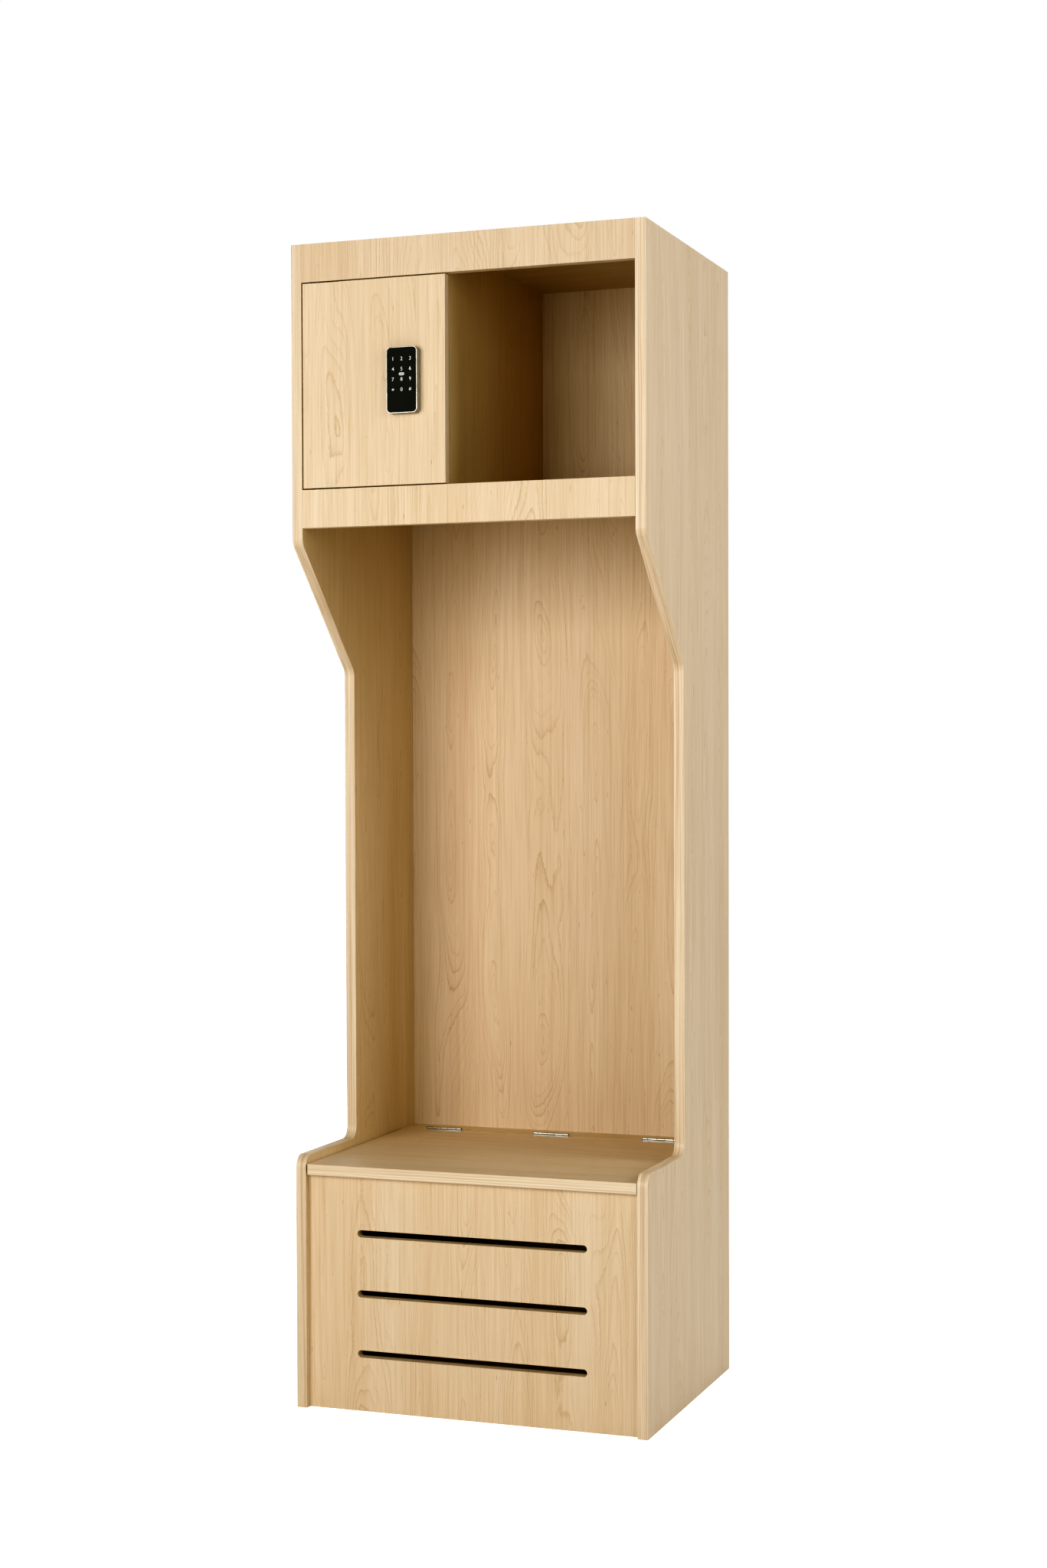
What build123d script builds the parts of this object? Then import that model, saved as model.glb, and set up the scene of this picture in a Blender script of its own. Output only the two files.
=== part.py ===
"""Open-front changing-room locker in maple laminate board.

Two profiled side boards carry a top compartment with a keypad-locked door beside an open cubby, a hanging
bay, and a bench whose lid covers a vented footlocker. Millimetres, +Z up, +X to the right, front towards -Y.
The origin is on the floor, in the middle of the overall width and overall depth.
"""

import math
import os

from build123d import *

# Cabinet
WIDTH = 610.0
DEPTH = 500.0
HEIGHT = 1930.0
BOARD = 18.0
BACK_BOARD = 15.0
BAND = 1.0
ARRIS = 0.8
SOFT_EDGE = 0.4
GAP = 2.0

# Side board profile, as depth behind the front plane and height
SETBACK = 214.0
STEP_TOP = 422.0
SLOPE_BOTTOM = 1232.0
SLOPE_TOP = 1437.5
CORNER_RADIUS = 20.0

# Top compartment
RAIL_HEIGHT = 63.0
SHELF_TOP = 1526.0
DIVIDER_RIGHT = -33.0

# Bench and footlocker
LID_TOP = 408.0
LID_DEPTH = 420.0
LID_LEFT_GAP = 2.8
LID_RIGHT_GAP = 0.8
FRONT_RECESS = 12.4
BUMPER = 1.5
FLOOR_TOP = 68.0
SLOT_HEIGHT = 12.0
SLOT_LENGTH = 399.0
SLOT_PITCH = 100.0
SLOT_LOWEST = 95.0

# Keypad lock
LOCK_X = -103.0
LOCK_Z = 1696.0
LOCK_WIDTH = 54.0
LOCK_HEIGHT = 108.0
LOCK_PROUD = 15.0
LOCK_CORNER = 8.0
LOCK_RIM = 1.5
LOCK_WALL = 2.0
GLASS = 1.95
LENS_Z = 1705.3

# Lock body behind the door
BODY_LEFT = -134.0
BODY_RIGHT = -62.0
BODY_HALF_HEIGHT = 62.0
BODY_DEPTH = 24.0
BODY_WALL = 2.0
BOLT_TIP = -56.0
BOLT_LENGTH = 58.0
BOLT_HEIGHT = 14.0
BOLT_THICK = 10.0
MODULE = 0.8
PINION_TEETH = 12
PINION_X = -96.0
TOOTH_BACKLASH = 0.3

# Door pivots
PIVOT_OFFSET = 24.0
PIVOT_PIN = 3.0
LEAF_THICK = 2.5
LEAF_LENGTH = 50.0
LEAF_WIDTH = 11.0

# Lid hinges
HINGE_LENGTH = 66.0
HINGE_PITCH = 203.0
HINGE_BARREL = 2.1
HINGE_PIN = 1.2
HINGE_LEAF = 0.9
HINGE_DROP = 17.0
KNUCKLES = 5
HINGE_RISE = 4.2
HINGE_PROUD = 1.3
KNUCKLE_GAP = 1.0

# Clearances
RUNNING = 0.05
SEATED = 0.1

# Worked out from the driving sizes
FRONT = LOCK_PROUD - (DEPTH + LOCK_PROUD) / 2
INNER = WIDTH / 2 - BOARD
BACK_FACE = DEPTH - BACK_BOARD
TOP_UNDER = HEIGHT - BOARD
HEADER_BOTTOM = HEIGHT - RAIL_HEIGHT
SHELF_UNDER = SHELF_TOP - BOARD
APRON_BOTTOM = SHELF_TOP - RAIL_HEIGHT
DIVIDER_LEFT = DIVIDER_RIGHT - BOARD
LID_UNDER = LID_TOP - BOARD
LID_LEFT = -INNER + LID_LEFT_GAP
LID_RIGHT = INNER - LID_RIGHT_GAP
FLOOR_UNDER = FLOOR_TOP - BOARD
VENT_BACK = FRONT_RECESS + BOARD
DOOR_LEFT = -INNER + GAP
DOOR_BOTTOM = SHELF_TOP + GAP
DOOR_TOP = HEADER_BOTTOM - GAP
PIVOT_X = DOOR_LEFT + PIVOT_OFFSET
PIVOT_DEPTH = BOARD / 2
HINGE_DEPTH = LID_DEPTH + GAP / 2
HINGE_Z = LID_TOP + HINGE_RISE
HINGE_XS = (-HINGE_PITCH, 0.0, HINGE_PITCH)
BODY_X = (BODY_LEFT + BODY_RIGHT) / 2
BODY_BACK = BOARD + BODY_DEPTH
BOLT_DEPTH = BOARD + 12.0
PITCH_RADIUS = MODULE * PINION_TEETH / 2
RACK_PITCH = math.pi * MODULE
RACK_LINE = LOCK_Z + 7.2
PINION_Z = RACK_LINE - PITCH_RADIUS
BOLT_BOTTOM = RACK_LINE + 1.25 * MODULE

TURN_TO = {
    "+x": Rot(0, 90, 0),
    "-x": Rot(0, -90, 0),
    "+y": Rot(-90, 0, 0),
    "-y": Rot(90, 0, 0),
    "+z": Rot(0, 0, 0),
    "-z": Rot(180, 0, 0),
}


def at(x, depth, z, facing="+z"):
    """A placement whose own +Z points the given way; depth is measured from the cabinet's front plane."""
    return Pos(x, FRONT + depth, z) * TURN_TO[facing]


def block(xs, depths, zs):
    """A box from its low and high x, depth and z."""
    size = [high - low for low, high in (xs, depths, zs)]
    middle = [(low + high) / 2 for low, high in (xs, depths, zs)]
    return Pos(middle[0], FRONT + middle[1], middle[2]) * Box(*size)


def rod(radius, length):
    """A cylinder that starts at the local origin and runs along local +Z."""
    return Cylinder(radius, length, align=(Align.CENTER, Align.CENTER, Align.MIN))


def plate_z(width, depth, thick, corner):
    """A rounded plate on local XY, from z 0 to its thickness."""
    return extrude(RectangleRounded(width, depth, corner), thick)


def joined(shapes):
    """One shape that holds all the given solids."""
    return Compound(children=[solid for shape in shapes for solid in shape.solids()])


def eased(solid, radius, chosen):
    """The solid with the chosen edges rounded; chosen takes an edge's middle as (x, depth, z)."""
    edges = []
    for edge in solid.edges():
        middle = edge @ 0.5
        if chosen(middle.X, middle.Y - FRONT, middle.Z):
            edges.append(edge)
    return fillet(edges, radius)


def near(value, target):
    return abs(value - target) < 0.01


def export(name, shape):
    export_step(shape, f"parts/{name}.step")


# Fasteners


def screw(length, shank, head):
    """Countersunk wood screw with a cross recess: the head's face is on local z 0 and the point is down."""
    cone_height = head - shank
    point = 2 * shank
    body = Pos(0, 0, -cone_height) * Cone(
        shank, head, cone_height, align=(Align.CENTER, Align.CENTER, Align.MIN)
    )
    body += Pos(0, 0, point - length) * rod(shank, length - point - cone_height)
    body += Pos(0, 0, -length) * Cone(
        0.3, shank, point, align=(Align.CENTER, Align.CENTER, Align.MIN)
    )
    for angle in (0, 90):
        body -= Rot(0, 0, angle) * Box(1.1 * head, 0.22 * head, 0.9 * cone_height)
    return body


def screw_hole(length, shank, head):
    """The hole that a countersunk screw of that size sits in."""
    cone_height = head - shank
    wide = shank + RUNNING
    hole = Pos(0, 0, -cone_height) * Cone(
        wide, head + RUNNING, cone_height, align=(Align.CENTER, Align.CENTER, Align.MIN)
    )
    return hole + Pos(0, 0, -length - SEATED) * rod(wide, length + SEATED)


BACK_SCREW = (45.0, 2.0, 4.0)
LEAF_SCREW = (18.0, 1.5, 3.0)
HINGE_SCREW = (14.0, 1.3, 2.2)
STRIKE_SCREW = (12.0, 1.4, 2.6)
COVER_SCREW = (10.0, 1.1, 2.0)


def back_screw_places():
    """Screws through the back board into the boards and the rail that meet it."""
    places = []
    for z in (HEIGHT - BOARD / 2, SHELF_TOP - BOARD / 2, LID_TOP - BOARD / 2, FLOOR_TOP - BOARD / 2):
        for x in (-200.0, 0.0, 200.0):
            places.append(at(x, DEPTH, z, "+y"))
    middle = (DIVIDER_LEFT + DIVIDER_RIGHT) / 2
    return places + [at(middle, DEPTH, z, "+y") for z in (SHELF_TOP + 90, TOP_UNDER - 90)]


DOWEL_RADIUS = 4.0
DOWEL_HALF = 15.0
DOWEL_IN_SIDE = 12.0


def side_dowel_spots():
    """Depth and height of each dowel between a side board and the board or rail that ends on it."""
    spots = [(BOARD / 2, z) for z in (HEADER_BOTTOM + 16, HEIGHT - 16)]
    spots += [(BOARD / 2, z) for z in (APRON_BOTTOM + 16, SHELF_TOP - 16)]
    spots += [(FRONT_RECESS + BOARD / 2, z) for z in (40.0, 200.0, 350.0)]
    spots += [(250.0, z) for z in (HEIGHT - BOARD / 2, SHELF_TOP - BOARD / 2, FLOOR_TOP - BOARD / 2)]
    spots += [(LID_DEPTH + depth, LID_TOP - BOARD / 2) for depth in (18.0, 48.0)]
    spots += [(DEPTH - BACK_BOARD / 2, z) for z in (220.0, 700.0, 1200.0, 1700.0)]
    return spots


def divider_dowel_places():
    """Dowels under and over the divider, each facing into the divider."""
    middle = (DIVIDER_LEFT + DIVIDER_RIGHT) / 2
    places = []
    for depth in (90.0, 400.0):
        places.append(at(middle, depth, SHELF_TOP, "+z"))
        places.append(at(middle, depth, TOP_UNDER, "-z"))
    return places


def side_dowels(radius, in_side, in_board):
    """Cylinders on the side boards' inner faces, both sides."""
    shapes = []
    for sign, outward in ((-1, "-x"), (1, "+x")):
        for depth, z in side_dowel_spots():
            start = sign * (INNER - in_board)
            shapes.append(at(start, depth, z, outward) * rod(radius, in_board + in_side))
    return shapes


def divider_dowels(radius, outside, inside):
    return [place * Pos(0, 0, -outside) * rod(radius, outside + inside) for place in divider_dowel_places()]


def dowel_holes():
    size = (DOWEL_RADIUS + RUNNING, DOWEL_IN_SIDE + SEATED, DOWEL_HALF + SEATED)
    return side_dowels(*size) + divider_dowels(*size)


def wood_dowels():
    size = (DOWEL_RADIUS, DOWEL_IN_SIDE, DOWEL_HALF)
    return joined(side_dowels(*size) + divider_dowels(*size))


CAM_RADIUS = 7.5
CAM_DEPTH = 12.5
CAM_FROM_END = 24.0
CAM_BOLT = 3.0
CAM_BOLT_IN_SIDE = 11.0
CAM_DEPTHS = (90.0, 410.0)


def cam_spots():
    """(side, depth, board's mid height, height of the face that the cam is let into, its facing)."""
    boards = (
        (HEIGHT - BOARD / 2, HEIGHT, "+z"),
        (SHELF_TOP - BOARD / 2, SHELF_UNDER, "-z"),
        (FLOOR_TOP - BOARD / 2, FLOOR_UNDER, "-z"),
    )
    return [(sign, depth, *board) for sign in (-1, 1) for depth in CAM_DEPTHS for board in boards]


def cam_solid(sign, depth, middle, face, facing, grow):
    place = at(sign * (INNER - CAM_FROM_END), depth, face, facing)
    return place * Pos(0, 0, -CAM_DEPTH - grow) * rod(CAM_RADIUS + grow, CAM_DEPTH + grow)


def cam_bolt_solid(sign, depth, middle, grow):
    start = sign * (INNER - CAM_FROM_END + 3.0)
    outward = "+x" if sign > 0 else "-x"
    length = CAM_FROM_END - 3.0 + CAM_BOLT_IN_SIDE
    return at(start, depth, middle, outward) * Pos(0, 0, -grow) * rod(CAM_BOLT + grow, length + 2 * grow)


def cam_locks():
    """Cam discs, each cut for the head of its bolt and slotted for a screwdriver."""
    cams = []
    for sign, depth, middle, face, facing in cam_spots():
        cam = cam_solid(sign, depth, middle, face, facing, 0.0)
        cam -= cam_bolt_solid(sign, depth, middle, 0.3)
        x = sign * (INNER - CAM_FROM_END)
        for angle in (0, 90):
            cam -= at(x, depth, face, facing) * Rot(0, 0, angle) * Box(9.0, 1.6, 3.0)
        cams.append(cam)
    return joined(cams)


def cam_bolts():
    return joined([cam_bolt_solid(sign, depth, middle, 0.0) for sign, depth, middle, _, _ in cam_spots()])


def cam_holes():
    holes = [cam_solid(*spot, RUNNING) for spot in cam_spots()]
    bolts = [cam_bolt_solid(sign, depth, middle, RUNNING) for sign, depth, middle, _, _ in cam_spots()]
    return holes + bolts


def back_screws():
    return joined([place * screw(*BACK_SCREW) for place in back_screw_places()])


def back_screw_holes():
    return [place * screw_hole(*BACK_SCREW) for place in back_screw_places()]


# Boards


def front_outline(inset):
    """The side board's front edge from floor to top, moved into the board by inset, in depth and z."""
    run, rise = SETBACK, SLOPE_TOP - SLOPE_BOTTOM
    slope = math.hypot(run, rise)
    across, up = rise / slope, run / slope

    def on_slope(depth):
        return SLOPE_TOP + (inset - across * depth) / up

    corners = [
        (inset, 0.0),
        (inset, STEP_TOP - inset),
        (SETBACK + inset, STEP_TOP - inset),
        (SETBACK + inset, on_slope(SETBACK + inset)),
        (inset, on_slope(inset)),
        (inset, HEIGHT),
    ]
    outer, inner = CORNER_RADIUS - inset, CORNER_RADIUS + inset
    return FilletPolyline(*corners, radius=[outer, inner, inner, outer])


def side_profile(inset):
    """The solid of a side board behind that inset, with its width from x 0 up. Inset 0 takes in the band."""
    front = front_outline(inset)
    rest = Polyline((inset, HEIGHT), (DEPTH, HEIGHT), (DEPTH, 0), (inset, 0))
    face = make_face(Curve() + [front, rest])
    solid = extrude(Plane.YZ * face, BOARD)
    return Pos(0, FRONT, 0) * solid


def side_place(sign):
    return Pos(-WIDTH / 2 if sign < 0 else WIDTH / 2 - BOARD, 0, 0)


def cut(solid, holes):
    """The solid less every hole that reaches into it."""
    box = solid.bounding_box()
    reaching = [hole for hole in holes if box.overlaps(hole.bounding_box())]
    return solid - reaching if reaching else solid


def side_panel(sign, holes):
    return cut(side_place(sign) * side_profile(BAND), holes)


def side_band(sign):
    """Edging along the whole front profile, its two outer edges rounded."""

    def on_front_profile(x, depth, z):
        on_face = near(x, 0) or near(x, BOARD)
        return on_face and not (near(z, 0) or near(z, HEIGHT) or near(depth, DEPTH))

    return side_place(sign) * (eased(side_profile(0.0), ARRIS, on_front_profile) - side_profile(BAND))


def vent_front(holes):
    """Footlocker front with three full-thickness vent slots."""
    board = block((-INNER, INNER), (FRONT_RECESS, VENT_BACK), (0, LID_UNDER - BUMPER))
    slot = extrude(SlotOverall(SLOT_LENGTH, SLOT_HEIGHT), 2 * BOARD)
    for row in range(3):
        board -= at(0, VENT_BACK + 1, SLOT_LOWEST + row * SLOT_PITCH, "-y") * slot

    def on_slot_mouth(x, depth, z):
        return near(depth, FRONT_RECESS) and abs(x) < SLOT_LENGTH / 2 + 1 and 20 < z < LID_UNDER - 20

    return cut(eased(board, SOFT_EDGE, on_slot_mouth), holes)


def divider_panel(holes):
    board = block((DIVIDER_LEFT, DIVIDER_RIGHT), (BOARD + GAP + BAND, BACK_FACE), (SHELF_TOP, TOP_UNDER))
    pocket = BOLT_THICK + 3.0
    tall = BOLT_HEIGHT + 3.0
    board -= block(
        (DIVIDER_LEFT - 1, DIVIDER_LEFT + 9),
        (BOLT_DEPTH - pocket / 2, BOLT_DEPTH + pocket / 2),
        (BOLT_BOTTOM - 1.5, BOLT_BOTTOM - 1.5 + tall),
    )
    return cut(board, holes)


def divider_band():
    face = BOARD + GAP
    band = block((DIVIDER_LEFT, DIVIDER_RIGHT), (face, face + BAND), (SHELF_TOP, TOP_UNDER))
    return eased(band, ARRIS, lambda x, depth, z: near(depth, face) and SHELF_TOP + 1 < z < TOP_UNDER - 1)


def door_panel(holes):
    width = (DOOR_LEFT + BAND, DIVIDER_RIGHT - BAND)
    board = block(width, (0, BOARD), (DOOR_BOTTOM + BAND, DOOR_TOP - BAND))
    return cut(board, holes)


def door_band(holes):
    """Edging on all four edges of the door, let in where the pivot leaves are."""
    outer = block((DOOR_LEFT, DIVIDER_RIGHT), (0, BOARD), (DOOR_BOTTOM, DOOR_TOP))
    outer = eased(outer, ARRIS, lambda x, depth, z: near(depth, 0) or near(depth, BOARD))
    across, up = (DOOR_LEFT + BAND, DIVIDER_RIGHT - BAND), (DOOR_BOTTOM + BAND, DOOR_TOP - BAND)
    return cut(outer - block(across, (-1, BOARD + 1), up), holes)


# Door pivots: a leaf let into the rail, a leaf let into the door, a pin and a washer at each end


def pivot_ends():
    """(name, height of the rail's edge, height of the door's edge, facing from the door to the rail)."""
    return (("upper", HEADER_BOTTOM, DOOR_TOP, "+z"), ("lower", SHELF_TOP, DOOR_BOTTOM, "-z"))


PIVOT_PIN_LENGTH = 12.0
LEAF_SHIFT = 12.0
LEAF_SCREWS = (12.0, 30.0)


def leaf_blank(grow):
    """A leaf, or the pocket for one, from local z 0 up. The pivot's axis is local Z."""
    size = (LEAF_LENGTH + 2 * grow, LEAF_WIDTH + 2 * grow)
    return Pos(LEAF_SHIFT, 0, 0) * plate_z(*size, LEAF_THICK, 4.0 + grow)


def pivot_at(edge, facing):
    return at(PIVOT_X, PIVOT_DEPTH, edge, facing)


def frame_screw_places(edge, facing):
    """Screws through a rail's leaf, heads towards the door."""
    return [pivot_at(edge, facing) * Pos(x, 0, 0) * Rot(180, 0, 0) for x in LEAF_SCREWS]


def door_screw_places(edge, facing):
    """Screws through a door's leaf, heads towards the rail."""
    return [pivot_at(edge, facing) * Pos(x, 0, 0) for x in LEAF_SCREWS]


def pivot_frame_leaf(edge, facing):
    leaf = pivot_at(edge, facing) * (leaf_blank(0.0) - Pos(0, 0, -1) * rod(PIVOT_PIN + 0.02, LEAF_THICK + 2))
    for place in frame_screw_places(edge, facing):
        leaf -= place * screw_hole(*LEAF_SCREW)
    return leaf


def pivot_door_leaf(edge, facing):
    leaf = leaf_blank(0.0) - Pos(0, 0, -1) * rod(PIVOT_PIN + RUNNING, LEAF_THICK + 2)
    leaf = pivot_at(edge, facing) * Pos(0, 0, -LEAF_THICK) * leaf
    for place in door_screw_places(edge, facing):
        leaf -= place * screw_hole(*LEAF_SCREW)
    return leaf


def pivot_frame_screws():
    places = [place for _, rail, _, facing in pivot_ends() for place in frame_screw_places(rail, facing)]
    return joined([place * screw(*LEAF_SCREW) for place in places])


def pivot_door_screws():
    places = [place for _, _, door, facing in pivot_ends() for place in door_screw_places(door, facing)]
    return joined([place * screw(*LEAF_SCREW) for place in places])


def pivot_pins():
    """Pins held in the rails' leaves, their free ends in the door."""
    pin = Pos(0, 0, LEAF_THICK - PIVOT_PIN_LENGTH) * rod(PIVOT_PIN, PIVOT_PIN_LENGTH)
    return joined([pivot_at(rail, facing) * pin for _, rail, _, facing in pivot_ends()])


def pivot_washers():
    ring = Pos(0, 0, SEATED - GAP) * (rod(5.0, GAP - SEATED) - rod(PIVOT_PIN + RUNNING, GAP))
    return joined([pivot_at(rail, facing) * ring for _, rail, _, facing in pivot_ends()])


def pivot_frame_holes():
    """Pockets in the rails for the leaves and their screws."""
    holes = []
    for _, rail, _, facing in pivot_ends():
        holes.append(pivot_at(rail, facing) * leaf_blank(RUNNING))
        holes += [place * screw_hole(*LEAF_SCREW) for place in frame_screw_places(rail, facing)]
    return holes


def pivot_door_holes():
    """Pockets in the door for the leaves, their screws and the pins."""
    holes = []
    pin_hole = Pos(0, 0, -PIVOT_PIN_LENGTH) * rod(PIVOT_PIN + 0.5, PIVOT_PIN_LENGTH)
    for _, _, door, facing in pivot_ends():
        holes.append(pivot_at(door, facing) * Pos(0, 0, -LEAF_THICK) * leaf_blank(RUNNING))
        holes.append(pivot_at(door, facing) * pin_hole)
        holes += [place * screw_hole(*LEAF_SCREW) for place in door_screw_places(door, facing)]
    return holes


# Lid hinges


def knuckle_span(index):
    """Low and high x of one knuckle, from the hinge's middle. The end knuckles are shorter."""
    shares = (0.15, 0.25, 0.2, 0.25, 0.15)
    low = -HINGE_LENGTH / 2 + HINGE_LENGTH * sum(shares[:index])
    return low + KNUCKLE_GAP / 2, low + HINGE_LENGTH * shares[index] - KNUCKLE_GAP / 2


def hinge_leaf(centre, on_lid):
    """One leaf of a butt hinge with its knuckles: the lid's leaf has the outer ones and the middle one."""
    low = LID_DEPTH if on_lid else HINGE_DEPTH + SEATED
    high = low + HINGE_LEAF
    leaf = block(
        (centre - HINGE_LENGTH / 2, centre + HINGE_LENGTH / 2),
        (low, high),
        (LID_TOP - HINGE_DROP, LID_TOP + HINGE_PROUD),
    )
    for index in range(KNUCKLES):
        if (index % 2 == 0) != on_lid:
            continue
        span = [centre + x for x in knuckle_span(index)]
        knuckle = at(span[0], HINGE_DEPTH, HINGE_Z, "+x") * rod(HINGE_BARREL, span[1] - span[0])
        leaf += knuckle + block(span, (low, high), (LID_TOP, HINGE_Z))
    bore = rod(HINGE_PIN + RUNNING, 2 * HINGE_LENGTH)
    leaf -= at(centre - HINGE_LENGTH, HINGE_DEPTH, HINGE_Z, "+x") * bore
    for place in hinge_screw_places(centre, on_lid):
        leaf -= place * screw_hole(*HINGE_SCREW)
    return leaf


def hinge_screw_places(centre, on_lid):
    """Screws through a leaf into the board's edge: the lid's point forwards, the rail's point back."""
    face, facing = (LID_DEPTH + HINGE_LEAF, "+y") if on_lid else (HINGE_DEPTH + SEATED, "-y")
    return [at(centre + shift, face, LID_TOP - BOARD / 2, facing) for shift in (-21.0, 21.0)]


def hinge_screws(on_lid):
    return joined([place * screw(*HINGE_SCREW) for x in HINGE_XS for place in hinge_screw_places(x, on_lid)])


def hinge_screw_holes(on_lid):
    return [place * screw_hole(*HINGE_SCREW) for x in HINGE_XS for place in hinge_screw_places(x, on_lid)]


def hinge_pins():
    """A headed pin through each lid hinge."""
    pins = []
    for x in HINGE_XS:
        start = at(x - HINGE_LENGTH / 2 - 0.6, HINGE_DEPTH, HINGE_Z, "+x")
        pin = start * rod(HINGE_PIN, HINGE_LENGTH + 1.2)
        pin += start * rod(HINGE_PIN + 0.6, 0.6)
        pin += start * Pos(0, 0, HINGE_LENGTH + 0.6) * rod(HINGE_PIN + 0.6, 0.6)
        pins.append(pin)
    return joined(pins)


# Bumpers


def lid_bumpers():
    """Soft discs on the footlocker front, which the closed lid lies on."""
    disc = rod(5.0, BUMPER - SEATED)
    return joined([at(x, FRONT_RECESS + BOARD / 2, LID_UNDER - BUMPER) * disc for x in (-255.0, 255.0)])


def door_bumpers():
    """Soft discs on the divider's front edge, which the closed door meets."""
    middle = (DIVIDER_LEFT + DIVIDER_RIGHT) / 2
    disc = rod(4.0, GAP - SEATED)
    return joined([at(middle, BOARD + GAP, z, "-y") * disc for z in (DOOR_BOTTOM + 25, DOOR_TOP - 25)])


# Keypad on the door's front


def lock_at(depth):
    """The lock's middle at a depth from the door's face, with local +Z towards the user."""
    return at(LOCK_X, depth, LOCK_Z, "-y")


LOCK_SCREW_SPOTS = ((-14.0, 44.0), (14.0, -44.0))
LOCK_SCREW_RADIUS = 2.0
BOSS_RADIUS = 4.0
GLASS_SEAT = LOCK_PROUD - 2.0
BOARD_STANDS = 8.4
CABLE_RISE = 30.0


def lock_frame():
    """Die-cast frame: a rounded case, open behind, with a seat for the glass, bosses and a power port."""
    case = plate_z(LOCK_WIDTH, LOCK_HEIGHT, LOCK_PROUD, LOCK_CORNER)
    case = fillet(case.faces().sort_by(Axis.Z)[-1].edges(), 0.7)
    seat = (LOCK_WIDTH - 2 * LOCK_RIM, LOCK_HEIGHT - 2 * LOCK_RIM)
    case -= Pos(0, 0, GLASS_SEAT) * plate_z(*seat, LOCK_PROUD, LOCK_CORNER - LOCK_RIM)
    cavity = (LOCK_WIDTH - 2 * LOCK_WALL, LOCK_HEIGHT - 2 * LOCK_WALL)
    case -= plate_z(*cavity, GLASS_SEAT - 1.0, LOCK_CORNER - LOCK_WALL)
    case -= Pos(0, 0, GLASS_SEAT - 2) * plate_z(LOCK_WIDTH - 14, LOCK_HEIGHT - 30, 3.0, 3.0)
    for x, y in LOCK_SCREW_SPOTS:
        boss = rod(BOSS_RADIUS, GLASS_SEAT - 3.0) - rod(LOCK_SCREW_RADIUS + RUNNING, GLASS_SEAT - 4.0)
        case += Pos(x, y, 2.2) * boss
    port = extrude(SlotOverall(9.0, 3.2), 6.0)
    case -= Pos(0, -LOCK_HEIGHT / 2 - 1, BOARD_STANDS - 1.4) * Rot(-90, 0, 0) * port
    return lock_at(0) * case


def lens_blank(grow):
    return extrude(SlotOverall(10.0 + 2 * grow, 5.0 + 2 * grow), GLASS)


def lens_at():
    return at(LOCK_X, -GLASS_SEAT, LENS_Z, "-y")


def touch_panel():
    size = (LOCK_WIDTH - 2 * LOCK_RIM - 2 * SEATED, LOCK_HEIGHT - 2 * LOCK_RIM - 2 * SEATED)
    glass = plate_z(*size, GLASS, LOCK_CORNER - LOCK_RIM - SEATED)
    return lock_at(-GLASS_SEAT) * glass - lens_at() * lens_blank(RUNNING)


def status_lens():
    return lens_at() * lens_blank(0.0)


def keypad_board():
    """Circuit board behind the glass, with the power socket on its lower edge."""
    board = plate_z(LOCK_WIDTH - 8, LOCK_HEIGHT - 6, 1.6, 4.0)
    for x, y in LOCK_SCREW_SPOTS:
        board -= Pos(x, y, -1) * rod(BOSS_RADIUS + 0.5, 4.0)
    board += Pos(0, -LOCK_HEIGHT / 2 + 6.8, -1.4) * Box(8.4, 7.0, 2.8)
    return lock_at(-BOARD_STANDS) * board


def lock_base_plate():
    size = (LOCK_WIDTH - 2 * LOCK_WALL - 2 * SEATED, LOCK_HEIGHT - 2 * LOCK_WALL - 2 * SEATED)
    plate = plate_z(*size, 2.0, LOCK_CORNER - LOCK_WALL - SEATED)
    for x, y in LOCK_SCREW_SPOTS:
        plate -= Pos(x, y, -1) * rod(LOCK_SCREW_RADIUS + RUNNING, 4.0)
    plate -= Pos(0, CABLE_RISE, 0) * Box(14.0, 5.0, 8.0)
    return lock_at(-SEATED) * plate


def ribbon_cable():
    """Flat cable from the keypad board, through the door, to the control board."""
    z = LOCK_Z + CABLE_RISE
    return block((LOCK_X - 5, LOCK_X + 5), (SEATED - BOARD_STANDS, BOARD + 3.9), (z - 0.5, z + 0.5))


# Lock body on the door's back


def body_at(depth):
    """The lock body's middle at a depth from the front plane, with local +Z to the back."""
    return at(BODY_X, depth, LOCK_Z, "+y")


def body_plate(inset, thick):
    """The lock body's outline, moved in, as a plate."""
    wide = BODY_RIGHT - BODY_LEFT - 2 * inset
    return plate_z(wide, 2 * (BODY_HALF_HEIGHT - inset), thick, 3.0 - inset)


def bolt_window(grow, xs):
    """The bolt's section, grown, over a span of x."""
    half = BOLT_THICK / 2 + grow
    zs = (BOLT_BOTTOM - grow, BOLT_BOTTOM + BOLT_HEIGHT + grow)
    return block(xs, (BOLT_DEPTH - half, BOLT_DEPTH + half), zs)


def cover_screw_places():
    across, up = (BODY_RIGHT - BODY_LEFT) / 2 - 4.4, BODY_HALF_HEIGHT - 4.4
    return [body_at(BODY_BACK + BODY_WALL) * Pos(x, y, 0) for x in (-across, across) for y in (-up, up)]


def lock_screw_bores(radius, depth, length):
    """Cylinders on the lock's two mounting screws, from a depth towards the back."""
    return [at(LOCK_X + x, depth, LOCK_Z + z, "+y") * rod(radius, length) for x, z in LOCK_SCREW_SPOTS]


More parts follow.
